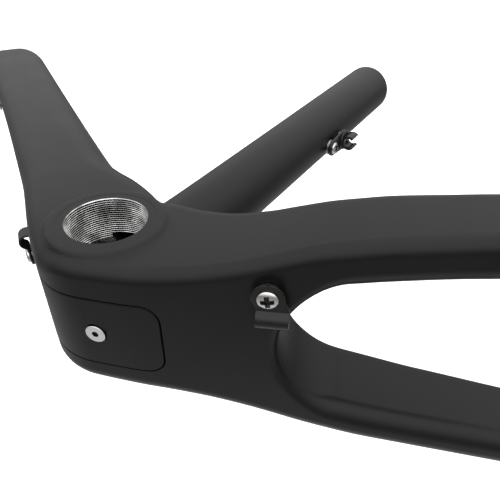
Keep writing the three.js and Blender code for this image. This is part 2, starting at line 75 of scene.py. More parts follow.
# ---- camera, light and floor ----------------------------------------------------------
def add_camera():
    camera_data = bpy.data.cameras.new("camera")
    camera_data.lens = 37.44
    camera_data.sensor_width = 36
    camera_data.clip_start = 0.01
    camera = bpy.data.objects.new("camera", camera_data)
    camera.location = (0.1006, -0.1585, 0.1486)
    camera.rotation_euler = (math.radians(90 - 36.11), 0, math.radians(14.24))
    bpy.context.scene.collection.objects.link(camera)
    bpy.context.scene.camera = camera


def add_world():
    """A studio tent: white above the horizon, brightest in a wide softbox overhead towards the
    photographer, dark just below the horizon and paler again towards the floor."""
    world = bpy.data.worlds.new("studio")
    bpy.context.scene.world = world
    world.use_nodes = True
    nodes, links = world.node_tree.nodes, world.node_tree.links
    nodes.clear()
    direction = nodes.new("ShaderNodeTexCoord")
    split = nodes.new("ShaderNodeSeparateXYZ")
    links.new(direction.outputs["Generated"], split.inputs[0])
    height = spread(nodes, links, split.outputs["Z"], (-1, 1), (0, 1))
    ramp = nodes.new("ShaderNodeValToRGB")
    stops = [(0.0, 0.75), (0.12, 0.5), (0.22, 0.36), (0.46, 0.2),
             (0.515, 0.5), (0.61, 0.6), (0.78, 1.0)]
    while len(ramp.color_ramp.elements) < len(stops):
        ramp.color_ramp.elements.new(0.5)
    for element, (place, level) in zip(ramp.color_ramp.elements, stops):
        element.position = place
        element.color = (level, level, level, 1)
    links.new(height, ramp.inputs[0])
    towards = nodes.new("ShaderNodeVectorMath")
    towards.operation = "DOT_PRODUCT"
    towards.inputs[1].default_value = (0.22, -0.35, 0.91)
    links.new(direction.outputs["Generated"], towards.inputs[0])
    softbox = spread(nodes, links, towards.outputs["Value"], (0.3, 0.72), (1.36, 2.3))
    background = nodes.new("ShaderNodeBackground")
    output = nodes.new("ShaderNodeOutputWorld")
    links.new(ramp.outputs[0], background.inputs["Color"])
    links.new(softbox, background.inputs["Strength"])
    links.new(background.outputs[0], output.inputs["Surface"])


def spread(nodes, links, value, source, target):
    """Maps a value from the source range to the target range."""
    node = nodes.new("ShaderNodeMapRange")
    node.inputs["From Min"].default_value, node.inputs["From Max"].default_value = source
    node.inputs["To Min"].default_value, node.inputs["To Max"].default_value = target
    links.new(value, node.inputs["Value"])
    return node.outputs[0]


def add_floor(lowest):
    half, drop = 30.0, 0.35
    mesh = bpy.data.meshes.new("floor")
    corners = [(-half, -half), (half, -half), (half, half), (-half, half)]
    mesh.from_pydata([(x, y, lowest - drop) for x, y in corners], [], [(0, 1, 2, 3)])
    floor = bpy.data.objects.new("floor", mesh)
    bpy.context.scene.collection.objects.link(floor)
    material, shader = new_material("floor_paper")
    shader.inputs["Base Color"].default_value = (0.93, 0.93, 0.93, 1)
    shader.inputs["Roughness"].default_value = 1.0
    shader.inputs["Specular IOR Level"].default_value = 0.0
    mesh.materials.append(material)
    floor.visible_glossy = False
    floor.visible_diffuse = False


# ---- materials ------------------------------------------------------------------------
def new_material(name):
    material = bpy.data.materials.new(name)
    material.use_nodes = True
    return material, material.node_tree.nodes["Principled BSDF"]


def noise(material, scale, detail=4.0, rough=0.55):
    nodes, links = material.node_tree.nodes, material.node_tree.links
    texture = nodes.new("ShaderNodeTexNoise")
    texture.inputs["Scale"].default_value = scale
    texture.inputs["Detail"].default_value = detail
    texture.inputs["Roughness"].default_value = rough
    place = nodes.new("ShaderNodeTexCoord")
    links.new(place.outputs["Object"], texture.inputs["Vector"])
    return texture.outputs["Fac"]


def remap(material, value, low, high, source=(0.3, 0.7)):
    """Feeds value, mostly within source, into the range low to high."""
    tree = material.node_tree
    return spread(tree.nodes, tree.links, value, source, (low, high))


def mix_colours(material, value, first, second, source=(0.3, 0.7)):
    nodes, links = material.node_tree.nodes, material.node_tree.links
    ramp = nodes.new("ShaderNodeValToRGB")
    for element, place, colour in zip(ramp.color_ramp.elements, source, (first, second)):
        element.position = place
        element.color = (*colour, 1)
    links.new(value, ramp.inputs[0])
    return ramp.outputs[0]


def bump(material, shader, value, depth):
    nodes, links = material.node_tree.nodes, material.node_tree.links
    node = nodes.new("ShaderNodeBump")
    node.inputs["Strength"].default_value = 1.0
    node.inputs["Distance"].default_value = depth
    links.new(value, node.inputs["Height"])
    links.new(node.outputs[0], shader.inputs["Normal"])


def satin_carbon():
    """Satin black lacquer: a faint cloudiness in its gloss and a very fine spray texture."""
    material, shader = new_material("satin_black")
    links = material.node_tree.links
    cloud = noise(material, 35, 3)
    links.new(mix_colours(material, cloud, (0.0038, 0.0039, 0.0042), (0.0050, 0.0051, 0.0054)),
              shader.inputs["Base Color"])
    links.new(remap(material, cloud, 0.36, 0.41), shader.inputs["Roughness"])
    shader.inputs["Specular IOR Level"].default_value = 0.2
    bump(material, shader, noise(material, 2600, 2), 0.000012)
    return material


def laminate():
    """Bare carbon inside the tubes and on the cut ends."""
    material, shader = new_material("bare_laminate")
    links = material.node_tree.links
    fibre = noise(material, 900, 3)
    links.new(mix_colours(material, fibre, (0.012, 0.012, 0.012), (0.035, 0.034, 0.033)),
              shader.inputs["Base Color"])
    links.new(remap(material, fibre, 0.45, 0.7), shader.inputs["Roughness"])
    bump(material, shader, fibre, 0.00005)
    return material


def metal(name, bright, dark, rough, scale=1400):
    material, shader = new_material(name)
    links = material.node_tree.links
    grain = noise(material, scale, 4)
    links.new(mix_colours(material, grain, dark, bright), shader.inputs["Base Color"])
    links.new(remap(material, grain, rough * 0.8, rough * 1.3), shader.inputs["Roughness"])
    shader.inputs["Metallic"].default_value = 1.0
    bump(material, shader, grain, 0.000006)
    return material


def thread_metal():
    """Cut alloy thread: bright crests, and valleys darkened with painted shade."""
    material, shader = new_material("thread_alloy")
    nodes, links = material.node_tree.nodes, material.node_tree.links
    place = nodes.new("ShaderNodeTexCoord")
    flat = nodes.new("ShaderNodeVectorMath")
    flat.operation = "MULTIPLY"
    flat.inputs[1].default_value = (1, 1, 0)
    radius = nodes.new("ShaderNodeVectorMath")
    radius.operation = "LENGTH"
    links.new(place.outputs["Object"], flat.inputs[0])
    links.new(flat.outputs[0], radius.inputs[0])
    # Painted shade: the colour turns dark towards the thread's roots, going by the radius.
    valleys = (0.01685, 0.01718)
    crests = mix_colours(material, noise(material, 130, 3), (0.30, 0.30, 0.29),
                         (0.86, 0.86, 0.85), (0.42, 0.6))
    mix = nodes.new("ShaderNodeMix")
    mix.data_type = "RGBA"
    links.new(remap(material, radius.outputs["Value"], 0, 1, valleys), mix.inputs[0])
    links.new(crests, mix.inputs[6])
    mix.inputs[7].default_value = (0.012, 0.012, 0.012, 1)
    links.new(mix.outputs[2], shader.inputs["Base Color"])
    links.new(remap(material, noise(material, 1400, 4), 0.2, 0.34), shader.inputs["Roughness"])
    shader.inputs["Metallic"].default_value = 1.0
    return material


def smudged_metal():
    """The unthreaded wall between the threads: bare metal with dark smears of resin."""
    material, shader = new_material("smudged_alloy")
    links = material.node_tree.links
    smear = noise(material, 160, 6, 0.65)
    links.new(mix_colours(material, smear, (0.05, 0.05, 0.05), (0.42, 0.42, 0.42), (0.42, 0.62)),
              shader.inputs["Base Color"])
    links.new(remap(material, smear, 0.55, 0.3), shader.inputs["Roughness"])
    shader.inputs["Metallic"].default_value = 1.0
    bump(material, shader, smear, 0.00004)
    return material


def black_moulded():
    material, shader = new_material("black_guide")
    links = material.node_tree.links
    grain = noise(material, 1800, 3)
    links.new(mix_colours(material, grain, (0.006, 0.006, 0.006), (0.011, 0.011, 0.011)),
              shader.inputs["Base Color"])
    links.new(remap(material, grain, 0.17, 0.25), shader.inputs["Roughness"])
    shader.inputs["Specular IOR Level"].default_value = 0.24
    bump(material, shader, grain, 0.00001)
    return material


# ---- the carbon outside as a distance field, millimetres ------------------------------
SHELL_HALF = 34.0
THREAD_R = 17.1
SLEEVE_R = 20.5
BOSS_R = 24.7
BOSS_EDGE = 1.5
BARREL_R = 30.4
HOUSING_R = 24.2
JUNCTION_WALL = 4.2
TUBE_WALL = 2.6
DOWN_ANGLE = math.radians(131)
DOWN_SPLIT = 72.0
DOWN_END = 305.0
SEAT_ANGLE = math.radians(73)
SEAT_OFFSET = -1.0
SEAT_SPLIT = 62.0
SEAT_END = 300.0
STAY_SPLIT = 112.0
STAY_END = 215.0
CROTCH_CENTRE = 100.0
CROTCH_DEPTH = 25.0
CROTCH_LEAN = 0.14                      # the crotch's wall leans forward towards its top
CROTCH_LEVEL = -11.0                    # the height where the lean moves nothing

# Down tube: place along it, underside, bottle side, half width, and the two corner radii.
DOWN = np.array([
    (-8, 30.4, -24.0, 31.6, 9, 10),
    (6, 30.4, -26.0, 31.7, 9, 10),
    (20, 30.1, -28.0, 31.8, 9, 11),
    (38, 28.9, -26.6, 31.6, 10, 14),
    (55, 27.6, -23.2, 31.2, 11, 17),
    (72, 26.6, -21.2, 30.7, 12, 19),
    (110, 25.6, -20.9, 29.8, 12, 20),
    (160, 24.6, -20.7, 29.0, 12, 20),
    (230, 23.7, -20.5, 28.6, 12, 20),
    (305, 23.2, -20.4, 28.4, 12, 20),
], float)
# Seat tube: place along it and radius.
SEAT = np.array([(0, 20.0), (30, 20.0), (62, 18.2), (300, 18.2)], float)
# Rear: place along X, outer half width, inner half width behind the crotch, underside, top.
REAR = np.array([
    (-8, 31.8, 29.5, -30.4, 27.0),
    (6, 32.0, 29.5, -30.4, 27.0),
    (20, 32.5, 29.5, -30.0, 26.6),
    (35, 33.8, 29.5, -28.4, 22.8),
    (50, 36.2, 29.5, -26.4, 20.2),
    (65, 40.0, 29.5, -24.2, 19.8),
    (75, 43.3, 29.7, -22.6, 20.0),
    (88, 47.6, 30.4, -20.7, 20.2),
    (100, 50.4, 31.6, -19.3, 20.8),
    (112, 52.8, 33.8, -17.9, 21.4),
    (130, 55.3, 36.6, -15.6, 22.1),
    (145, 57.3, 38.4, -13.7, 22.8),
    (180, 61.4, 42.2, -9.6, 24.0),
    (215, 64.6, 45.4, -6.0, 25.0),
], float)
REAR_EDGE = 9.0
CREASE_EDGE = 5.5                       # the underside's edge towards the non-drive side
SLOT_EDGE = 4.0                         # the stays' inner edges at the crotch
SLOT_EDGE_GAIN = 4.0                    # what that edge gains further back


def smooth_rows(rows, count=400):
    """Dense rows on the Catmull-Rom curve through the given ones."""
    t = np.linspace(0, len(rows) - 1, count)
    index = np.minimum(t.astype(int), len(rows) - 2)
    w = (t - index)[:, None]
    p0 = rows[np.maximum(index - 1, 0)]
    p1 = rows[index]
    p2 = rows[index + 1]
    p3 = rows[np.minimum(index + 2, len(rows) - 1)]
    v0 = (p2 - p0) / 2
    v1 = (p3 - p1) / 2
    return ((2 * p1 - 2 * p2 + v0 + v1) * w ** 3
            + (-3 * p1 + 3 * p2 - 2 * v0 - v1) * w ** 2 + v0 * w + p1)


DOWN_CURVE = smooth_rows(DOWN)
SEAT_CURVE = smooth_rows(SEAT)
REAR_CURVE = smooth_rows(REAR)


def at(curve, column, place):
    return np.interp(place, curve[:, 0], curve[:, column])


def smooth_min(a, b, reach):
    overlap = np.maximum(reach - np.abs(a - b), 0) / reach
    return np.minimum(a, b) - overlap ** 3 * reach / 6


def rounded(walls, edge):
    """Where several walls meet with a rounded edge. Each wall is a signed distance."""
    lifted = [wall + edge for wall in walls]
    outside = sum(np.maximum(wall, 0) ** 2 for wall in lifted)
    inside = lifted[0]
    for wall in lifted[1:]:
        inside = np.maximum(inside, wall)
    return np.sqrt(outside) + np.minimum(inside, 0) - edge


def tube_frame(angle, offset, x, y):
    along = x * math.cos(angle) + y * math.sin(angle)
    across = y * math.cos(angle) - x * math.sin(angle) - offset
    return along, across


def seat_field(x, y, z):
    along, across = tube_frame(SEAT_ANGLE, SEAT_OFFSET, x, y)
    return np.maximum(np.hypot(across, z) - at(SEAT_CURVE, 1, along), -along)


def inner_half(x):
    """Half width of the slot between the stays. It ends in a half ellipse at the crotch."""
    depth = np.clip((CROTCH_CENTRE - x) / CROTCH_DEPTH, 0, 1)
    return at(REAR_CURVE, 2, x) * np.sqrt(1 - depth ** 2)


def slot_outline():
    turn = np.linspace(math.pi / 2, 0, 40)[:-1]
    x = np.concatenate([CROTCH_CENTRE - CROTCH_DEPTH * np.sin(turn),
                        np.linspace(CROTCH_CENTRE, STAY_END + 60, 60)])
    return np.stack([x, inner_half(x)], axis=1)


SLOT = slot_outline()


def slot_field(x, z):
    """Distance from the slot's wall, positive inside the slot."""
    side = np.abs(z)
    nearest = np.full(np.broadcast(x, side).shape, 1e6)
    for (ax, az), (bx, bz) in zip(SLOT[:-1], SLOT[1:]):
        dx, dz = bx - ax, bz - az
        t = np.clip(((x - ax) * dx + (side - az) * dz) / (dx * dx + dz * dz), 0, 1)
        nearest = np.minimum(nearest, (x - ax - t * dx) ** 2 + (side - az - t * dz) ** 2)
    within = (x > CROTCH_CENTRE - CROTCH_DEPTH) & (side < inner_half(x))
    return np.sqrt(nearest) * np.where(within, 1, -1)


def smooth_step(share):
    share = np.clip(share, 0, 1)
    return share * share * (3 - 2 * share)


def body_field(x, y, z):
    """The down tube, the shell and the stays' root: one profile seen along the crank axis, whose
    half width and edge pass smoothly from the down tube's to the rear's. Underneath, the tube and
    the rear run off the shell's circle at a tangent, so they need almost no blend there."""
    along, across = tube_frame(DOWN_ANGLE, 0, x, y)
    high, low = at(DOWN_CURVE, 1, along), at(DOWN_CURVE, 2, along)
    down = np.maximum(np.maximum(across - high, low - across), -along)
    rear = np.maximum(at(REAR_CURVE, 3, x) - y, y - at(REAR_CURVE, 4, x))
    rear = np.maximum(rear, -x)
    below = smooth_step((np.maximum(across, -y) - 5) / 10)
    profile = smooth_min(smooth_min(down, rear, 8.0), np.hypot(x, y) - BARREL_R, 2.5 - 2.48 * below)
    share = smooth_step(0.5 + (down - rear) / 24)
    half = (1 - share) * at(DOWN_CURVE, 3, along) + share * at(REAR_CURVE, 1, x)
    under = smooth_step(0.5 + (across - (high + low) / 2) / 8)
    down_edge = under * at(DOWN_CURVE, 4, along) + (1 - under) * at(DOWN_CURVE, 5, along)
    crease = smooth_step(0.5 + z / 10) * smooth_step(0.5 - y / 10)
    rear_edge = REAR_EDGE + (CREASE_EDGE - REAR_EDGE) * crease
    edge = (1 - share) * down_edge + share * rear_edge
    lean = CROTCH_LEAN * (y - CROTCH_LEVEL) * smooth_step((115 - x) / 30)
    side, slot = np.abs(z) - half, slot_field(x + lean, z)
    slot_edge = SLOT_EDGE + SLOT_EDGE_GAIN * smooth_step((x - 80) / 22)
    edge = edge + (slot_edge - edge) * smooth_step(0.5 + (slot - side) / 12)
    return rounded([profile, side, slot], edge)


def boss_field(x, y, z):
    return rounded([np.hypot(x, y) - BOSS_R, np.abs(z) - SHELL_HALF], BOSS_EDGE)


def outside(x, y, z):
    """Signed distance from the carbon's outer surface, with every joint blended."""
    field = smooth_min(body_field(x, y, z), seat_field(x, y, z), 10.0)
    return smooth_min(field, boss_field(x, y, z), 4.0)


def outside_normals(points):
    """Unit normals of the outer surface's field at an array of points, in millimetres."""
    step = 0.05
    slopes = []
    for axis in range(3):
        shift = np.zeros(3)
        shift[axis] = step
        high, low = points + shift, points - shift
        slopes.append(outside(*high.T) - outside(*low.T))
    normals = np.stack(slopes, axis=1)
    return normals / np.maximum(np.linalg.norm(normals, axis=1), 1e-9)[:, None]


# ---- mesh helpers ---------------------------------------------------------------------
def make_object(name, points, faces, materials):
    """A mesh object from points in millimetres."""
    mesh = bpy.data.meshes.new(name)
    mesh.from_pydata((np.asarray(points, float) * MM).tolist(), [], faces)
    face_outwards(mesh)
    mesh.polygons.foreach_set("use_smooth", [True] * len(mesh.polygons))
    for material in materials:
        mesh.materials.append(material)
    piece = bpy.data.objects.new(name, mesh)
    bpy.context.scene.collection.objects.link(piece)
    return piece


def face_outwards(mesh):
    work = bmesh.new()
    work.from_mesh(mesh)
    bmesh.ops.recalc_face_normals(work, faces=work.faces)
    work.to_mesh(mesh)
    work.free()


def remove(piece):
    mesh = piece.data
    bpy.data.objects.remove(piece)
    bpy.data.meshes.remove(mesh)


def cut(piece, cutter, operation="DIFFERENCE"):
    """Applies one boolean and removes the cutter."""
    modifier = piece.modifiers.new("cut", "BOOLEAN")
    modifier.operation = operation
    modifier.solver = "MANIFOLD"
    modifier.object = cutter
    bake_modifiers(piece)
    remove(cutter)


def bake_modifiers(piece):
    graph = bpy.context.evaluated_depsgraph_get()
    mesh = bpy.data.meshes.new_from_object(piece.evaluated_get(graph))
    old = piece.data
    piece.modifiers.clear()
    piece.data = mesh
    bpy.data.meshes.remove(old)
    mesh.name = piece.name


def grid_faces(rows, ring):
    """Quads of a closed tube whose points come row by row."""
    faces = []
    for row in range(rows - 1):
        for k in range(ring):
            n = (k + 1) % ring
            faces.append((row * ring + k, row * ring + n, (row + 1) * ring + n, (row + 1) * ring + k))
    return faces


def turn_about_z(profile, sides, matrix=None, name="turned", materials=()):
    """A solid of revolution. The profile is a list of (radius, height), from bottom to top
    along the outside, and it starts and ends on the axis or closes on itself."""
    closed = profile[0] == profile[-1]
    rings = profile[:-1] if closed else profile[1:-1]
    last = (len(rings) - 1) * sides
    angles = np.arange(sides) * 2 * math.pi / sides
    points = [(r * math.cos(a), r * math.sin(a), z) for r, z in rings for a in angles]
    faces = grid_faces(len(rings), sides)
    if closed:
        faces += [(last + k, last + (k + 1) % sides, (k + 1) % sides, k) for k in range(sides)]
    else:
        bottom = len(points)
        points += [(0, 0, profile[0][1]), (0, 0, profile[-1][1])]
        faces += [((k + 1) % sides, k, bottom) for k in range(sides)]
        faces += [(last + k, last + (k + 1) % sides, bottom + 1) for k in range(sides)]
    piece = make_object(name, points, faces, materials)
    if matrix is not None:
        piece.data.transform(matrix)
    return piece


def shade_outside(piece, offset=None):
    """Gives every corner on the outer surface the field's own normal, so shading is even."""
    mesh = piece.data
    mesh.set_sharp_from_angle(angle=math.radians(35))
    points = np.empty(len(mesh.vertices) * 3, np.float32)
    mesh.vertices.foreach_get("co", points)
    points = points.reshape(-1, 3).astype(float) / MM
    normals = outside_normals(points)
    level = outside(*points.T) - (offset(points) if offset else 0)
    on_skin = np.abs(level) < 0.08
    faces = np.empty(len(mesh.loops), np.int32)
    mesh.loops.foreach_get("vertex_index", faces)
    face_normals = np.empty(len(mesh.polygons) * 3, np.float32)
    mesh.polygons.foreach_get("normal", face_normals)
    totals = np.empty(len(mesh.polygons), np.int32)
    mesh.polygons.foreach_get("loop_total", totals)
    per_corner = np.repeat(face_normals.reshape(-1, 3), totals, axis=0)
    wanted = normals[faces]
    usable = on_skin[faces] & ((wanted * per_corner).sum(axis=1) > 0.85)
    mesh.normals_split_custom_set(np.where(usable[:, None], wanted, 0).tolist())


# ---- carbon pieces --------------------------------------------------------------------
VOXEL = 0.8
JUNCTION_LOW = np.array([-84.0, -34.0, -57.0])
JUNCTION_HIGH = np.array([117.0, 78.0, 57.0])
COVER_FRONT = -37.0
COVER_REAR = 32.5
COVER_HALF = 17.8
COVER_CORNER_R = 8.0
COVER_THICKNESS = 2.2
COVER_LEDGE = 4.5
COVER_SCREW = (4.9, -30.65)
COVER_BOSS_R = 6.5
COVER_GAP = 0.6
COVER_LIE = (-0.15, -0.26)            # the cover lies a little low in its pocket
WINDOW_ANGLE = math.radians(73)
WINDOW_WIDTH = 23.6
WINDOW_HALF_HEIGHT = 15.8


def junction_field(x, y, z):
    """The junction as a wall round a cavity, with the post that takes the cover screw."""
    skin = outside(x, y, z)
    post = np.maximum(np.hypot(x - COVER_SCREW[0], z) - COVER_BOSS_R, y + 20)
    cavity = np.maximum(skin + JUNCTION_WALL, HOUSING_R - np.hypot(x, y))
    return np.maximum(skin, -np.maximum(cavity, -post))


def field_mesh(name, field, low, high, step, materials):
    """Meshes the zero surface of a field between two corners."""
    counts = np.ceil((high - low) / step).astype(int) + 1
    x, y, z = (low[k] + step * np.arange(counts[k]) for k in range(3))
    values = field(x[:, None, None], y[None, :, None], z[None, None, :])
    values = np.clip(values, -4 * step, 4 * step).astype(np.float32)
    grid = openvdb.FloatGrid(background=4 * step)
    grid.copyFromArray(values, tolerance=0)
    points, quads = grid.convertToQuads(isovalue=0.0)
    points = low + points * step
    return make_object(name, points, quads[:, ::-1].tolist(), materials)


def box_solid(low, high, matrix):
    corners = [(x, y, z) for x in (low[0], high[0])
               for y in (low[1], high[1]) for z in (low[2], high[2])]
    faces = [(0, 1, 3, 2), (4, 6, 7, 5), (0, 4, 5, 1), (2, 3, 7, 6), (0, 2, 6, 4), (1, 5, 7, 3)]
    piece = make_object("box", corners, faces, ())
    piece.data.transform(matrix)
    return piece


def beyond(angle, place):
    """A block that takes away everything past a cut across a tube."""
    turn = Matrix.Rotation(angle, 4, "Z")
    return box_solid((place, -70, -90), (place + 90, 70, 90), turn)


def window_block():
    """The window from the bore through to the seat tube."""
    half = WINDOW_WIDTH / 2
    turn = Matrix.Rotation(WINDOW_ANGLE, 4, "Z")
    return box_solid((0, -half, -WINDOW_HALF_HEIGHT), (30, half, WINDOW_HALF_HEIGHT), turn)


def rounded_outline(inset, steps=9):
    """The port's outline as (x, z) points, evenly spaced and a little wider at the front."""
    radius = COVER_CORNER_R - inset
    points = []
    corners = [(COVER_REAR, 1, 0), (COVER_REAR, -1, 270),
               (COVER_FRONT, -1, 180), (COVER_FRONT, 1, 90)]
    for edge, side, start in corners:
        inward = -1 if edge == COVER_REAR else 1
        centre = (edge + inward * (inset + radius), side * (COVER_HALF - inset - radius))
        for k in range(steps):
            angle = math.radians(start + 90 * (1 - k / (steps - 1)))
            points.append((centre[0] + radius * math.cos(angle),
                           centre[1] + radius * math.sin(angle)))
    outline = np.array(resample(points, 128))
    outline[:, 1] *= 1 + 0.09 * smooth_step((-12 - outline[:, 0]) / 24)
    return outline


def resample(points, count):
    """Evenly spaced points round a closed outline."""
    loop = np.array(points + points[:1], float)
    lengths = np.concatenate([[0], np.cumsum(np.linalg.norm(np.diff(loop, axis=0), axis=1))])
    places = np.linspace(0, lengths[-1], count, endpoint=False)
    return [(np.interp(s, lengths, loop[:, 0]), np.interp(s, lengths, loop[:, 1])) for s in places]


def drop_to(level, x, z):
    """The height under the shell where the outer field has the given level."""
    high = np.full(x.shape, 8.0)
    low = np.full(x.shape, -48.0)
    for _ in range(28):
        middle = (high + low) / 2
        inside = outside(x, middle, z) < level
        high = np.where(inside, middle, high)
        low = np.where(inside, low, middle)
    return (high + low) / 2


def stacked_solid(name, rings, materials=()):
    """A closed solid under the shell from rings of (outline, level). The first and last rings
    are closed by fans."""
    points = []
    for outline, level in rings:
        x, z = outline.T
        levels = level(x, z) if callable(level) else np.full(x.shape, float(level))
        points.append(np.stack([x, drop_to(levels, x, z), z], axis=1))
    ring = len(points[0])
    faces = grid_faces(len(points), ring)
    flat = np.concatenate(points)
    for row, flip in ((0, True), (len(points) - 1, False)):
        centre = len(flat)
        flat = np.concatenate([flat, points[row].mean(axis=0)[None]])
        for k in range(ring):
            a, b = row * ring + k, row * ring + (k + 1) % ring
            faces.append((b, a, centre) if flip else (a, b, centre))
    return make_object(name, flat, faces, materials)


def shrinking(outline, count, smallest=0.04):
    """Copies of an outline drawn in towards its middle."""
    middle = outline.mean(axis=0)
    shares = np.linspace(1, smallest, count)[1:]
    return [middle + (outline - middle) * share for share in shares]


def port_cutters():
    """The pocket that the cover lies in, and the hole inside its ledge."""
    wide = rounded_outline(-COVER_GAP / 2)
    pocket = stacked_solid("pocket", [(wide, 4.0), (wide, -COVER_THICKNESS - 0.35)])
    narrow = rounded_outline(COVER_LEDGE)
    hole = stacked_solid("hole", [(narrow, 4.0), (narrow, -JUNCTION_WALL - 1.4)])
    return pocket, hole


def proud(x, z):
    """The cover stands slightly proud at its front edge."""
    return 0.55 * np.clip((-14 - x) / 22, 0, 1) ** 2


def make_cover(material):
    lie = np.array(COVER_LIE)
    outer, near, inner = (rounded_outline(COVER_GAP / 2 + more) + lie for more in (0, 0.15, 0.5))
    rings = [(o, -COVER_THICKNESS) for o in reversed(shrinking(inner, 10))]
    rings.append((inner, -COVER_THICKNESS))
    rings.append((outer, -COVER_THICKNESS + 0.3))
    rings.append((outer, lambda x, z: proud(x, z) - 0.5))
    rings.append((near, lambda x, z: proud(x, z) - 0.15))
    rings.append((inner, proud))
    rings += [(o, proud) for o in shrinking(inner, 18)]
    cover = stacked_solid("cover_panel", rings, [material])
    axis = Matrix.Translation(Vector((COVER_SCREW[0], COVER_SCREW[1], 0)) * MM)
    turn = Matrix.Rotation(math.radians(90), 4, "X")
    sink = [(0, -4), (2.9, -4), (2.9, -2.2), (4.9, 0.0), (5.1, 0.3), (5.2, 2.0), (0, 2.0)]
    cut(cover, turn_about_z(sink, 64, axis @ turn))
    return cover


def make_junction(satin, bare):
    junction = field_mesh("junction_skin", junction_field, JUNCTION_LOW, JUNCTION_HIGH, VOXEL,
                          [satin, bare])
    for angle, place in ((DOWN_ANGLE, DOWN_SPLIT), (SEAT_ANGLE, SEAT_SPLIT), (0, STAY_SPLIT)):
        cut(junction, beyond(angle, place))
    cut(junction, turn_about_z([(0, -50), (SLEEVE_R, -50), (SLEEVE_R, 50), (0, 50)], 128))
    cut(junction, window_block())
    for cutter in port_cutters():
        cut(junction, cutter)
    return junction


def oblong(high, low, middle, half, edge_high, edge_low, steps=14):
    """Ring of (across, z) points round a section, its four corners rounded."""
    points = []
    corners = [(high, -1, edge_high, 0), (low, -1, edge_low, 90),
               (low, 1, edge_low, 180), (high, 1, edge_high, 270)]
    for limit, side, edge, start in corners:
        inward = -1 if limit == high else 1
        centre = (limit + inward * edge, middle + side * (half - edge))
        for k in range(steps):
            angle = math.radians(start + 90 * k / (steps - 1))
            points.append((centre[0] + edge * math.cos(angle), centre[1] - edge * math.sin(angle)))
    return points


def down_section(place, inset):
    high, low, half, edge_high, edge_low = (float(at(DOWN_CURVE, k, place)) for k in range(1, 6))
    return oblong(high - inset, low + inset, 0, half - inset, edge_high - inset, edge_low - inset)


def seat_section(place, inset):
    radius = float(at(SEAT_CURVE, 1, place)) - inset
    return oblong(radius, -radius, 0, radius, radius, radius)


def stay_section(side):
    def section(place, inset):
        outer, inner, low, high = (float(at(REAR_CURVE, k, place)) for k in range(1, 5))
        middle, half = side * (outer + inner) / 2, (outer - inner) / 2
        edge = REAR_EDGE - inset
        return oblong(high - inset, low + inset, middle, half - inset, edge, edge)
    return section


def settle(points, along):
    """Moves points onto the outer surface without leaving their cut across the tube."""
    for _ in range(2):
        slope = outside_normals(points)
        slope -= np.outer(slope @ along, along)
        level = outside(*points.T)
        points = points - slope * (level / (slope ** 2).sum(axis=1))[:, None]
    return points


def tube_piece(name, angle, offset, start, end, section, materials):
    """A hollow tube from one cut to the other, as one closed wall."""
    along = np.array([math.cos(angle), math.sin(angle), 0])
    across = np.array([-math.sin(angle), math.cos(angle), 0])
    places = np.linspace(start, end, 2 + int((end - start) / 5))
    rows = []
    for inset, order in ((0, places), (TUBE_WALL, places[::-1])):
        for place in order:
            ring = np.array(section(place, inset))
            points = along * place + np.outer(ring[:, 0] + offset, across)
            points[:, 2] += ring[:, 1]
            rows.append(settle(points, along) if inset == 0 else points)
    ring = len(rows[0])
    faces = grid_faces(len(rows), ring)
    last = (len(rows) - 1) * ring
    faces += [(last + k, last + (k + 1) % ring, (k + 1) % ring, k) for k in range(ring)]
    piece = make_object(name, np.concatenate(rows), faces, materials)
    bare_from = (len(places) - 1) * ring
    for face in piece.data.polygons:
        face.material_index = int(face.index >= bare_from)
    return piece


# ---- threaded sleeve ------------------------------------------------------------------
THREAD_PITCH = 25.4 / 24
THREAD_DEPTH = 0.64
THREAD_LENGTH = 20.5
RELIEF_R = 17.7
MOUTH_R = 17.15


def bore_rows():
    """(depth, radius) pairs down half of the bore: V grooves at the thread's pitch, then plain."""
    crest, root = THREAD_R - THREAD_DEPTH / 2, THREAD_R + THREAD_DEPTH / 2
    rows = [(0, MOUTH_R), (MOUTH_R - crest, crest)]
    depth = MOUTH_R - crest + 0.12
    while depth < THREAD_LENGTH - THREAD_PITCH:
        steps = ((0, crest), (0.44, root), (0.56, root), (0.94, crest))
        rows += [(depth + share * THREAD_PITCH, radius) for share, radius in steps]
        depth += THREAD_PITCH
    rows += [(THREAD_LENGTH, crest), (THREAD_LENGTH + 0.5, RELIEF_R), (SHELL_HALF, RELIEF_R)]
    return rows


def make_sleeve(thread, satin, smudged):
    sides = 192
    turns = np.arange(sides) * 2 * math.pi / sides
    half = [(SHELL_HALF - depth, radius) for depth, radius in bore_rows()]
    levels = half + [(-height, radius) for height, radius in half[::-1][1:]]
    levels += [(-SHELL_HALF, SLEEVE_R), (SHELL_HALF, SLEEVE_R)]
    rows = [np.stack([radius * np.cos(turns), radius * np.sin(turns), np.full(sides, height)],
                     axis=1) for height, radius in levels]
    faces = grid_faces(len(rows), sides)
    last = (len(rows) - 1) * sides
    faces += [(last + k, last + (k + 1) % sides, (k + 1) % sides, k) for k in range(sides)]
    sleeve = make_object("thread_sleeve", np.concatenate(rows), [f[::-1] for f in faces],
                         [thread, satin, smudged])
    cut(sleeve, window_block())
    for face in sleeve.data.polygons:
        x, y, z = face.center / MM
        if abs(z) > SHELL_HALF - 0.02:
            face.material_index = 1
        elif abs(z) < SHELL_HALF - THREAD_LENGTH:
            face.material_index = 2
        else:
            face.material_index = 0
    sleeve.data.set_sharp_from_angle(angle=math.radians(25))
    return sleeve


